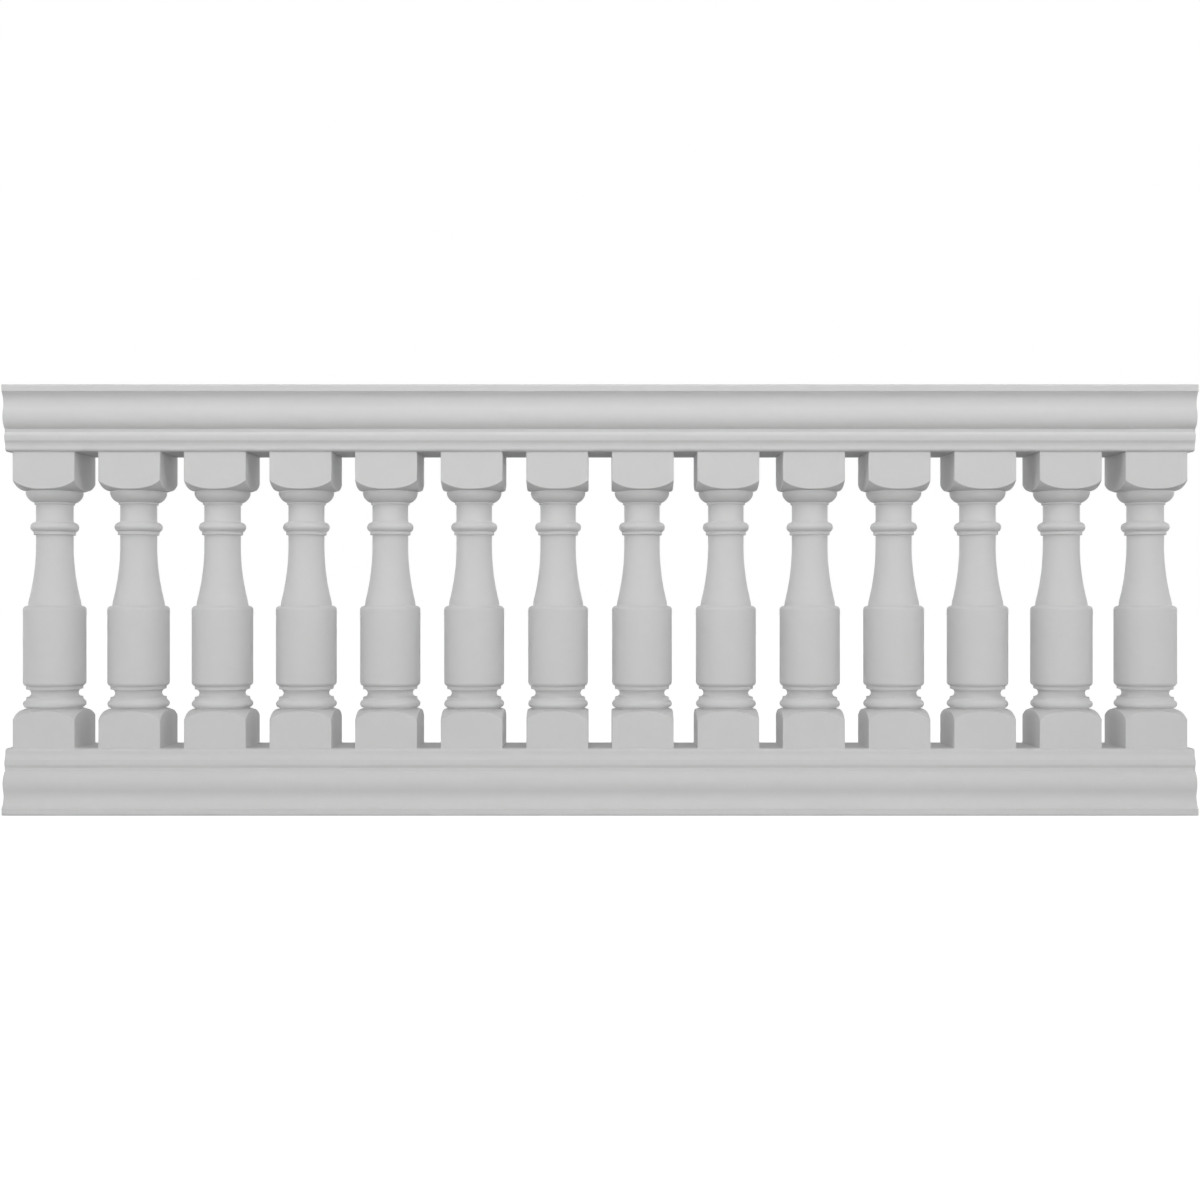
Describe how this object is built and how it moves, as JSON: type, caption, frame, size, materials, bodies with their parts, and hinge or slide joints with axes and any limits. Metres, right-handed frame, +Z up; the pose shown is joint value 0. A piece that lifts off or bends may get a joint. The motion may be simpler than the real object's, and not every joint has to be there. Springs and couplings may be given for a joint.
{
  "type": "balustrade section",
  "caption": "Straight balustrade section: hollow moulded top and bottom rails of one profile, joined by turned balusters with square blocks.",
  "frame": {"origin": "centre of the lower rail's flat underside, on the floor", "axes": "+X along the rails, +Y across them, +Z up; the part stands on the plane z = 0"},
  "size_m": [2.4384, 0.1778, 0.8794],
  "materials": {
    "rail_gelcoat": "satin light grey gelcoat on moulded fiberglass",
    "baluster_gelcoat": "satin light grey gelcoat on moulded fiberglass",
    "plate_gelcoat": "satin light grey gelcoat on flat fiberglass sheet",
    "zinc_steel": "zinc-plated steel"
  },
  "bodies": {
    "root": {"bottom_rail": "rail_gelcoat", "bottom_rail_deck": "plate_gelcoat", "top_rail": "rail_gelcoat", "top_rail_soffit": "plate_gelcoat", "baluster_01": "baluster_gelcoat", "baluster_02": "baluster_gelcoat", "baluster_03": "baluster_gelcoat", "baluster_04": "baluster_gelcoat", "baluster_05": "baluster_gelcoat", "baluster_06": "baluster_gelcoat", "baluster_07": "baluster_gelcoat", "baluster_08": "baluster_gelcoat", "baluster_09": "baluster_gelcoat", "baluster_10": "baluster_gelcoat", "baluster_11": "baluster_gelcoat", "baluster_12": "baluster_gelcoat", "baluster_13": "baluster_gelcoat", "baluster_14": "baluster_gelcoat", "tie_rod_01": "zinc_steel", "tie_rod_02": "zinc_steel", "tie_rod_03": "zinc_steel", "tie_rod_04": "zinc_steel", "tie_rod_05": "zinc_steel", "tie_rod_06": "zinc_steel", "tie_rod_07": "zinc_steel", "tie_rod_08": "zinc_steel", "tie_rod_09": "zinc_steel", "tie_rod_10": "zinc_steel", "tie_rod_11": "zinc_steel", "tie_rod_12": "zinc_steel", "tie_rod_13": "zinc_steel", "tie_rod_14": "zinc_steel", "bottom_bearing_plates": "zinc_steel", "top_bearing_plates": "zinc_steel", "bottom_nuts": "zinc_steel", "top_nuts": "zinc_steel"}
  },
  "joints": []
}
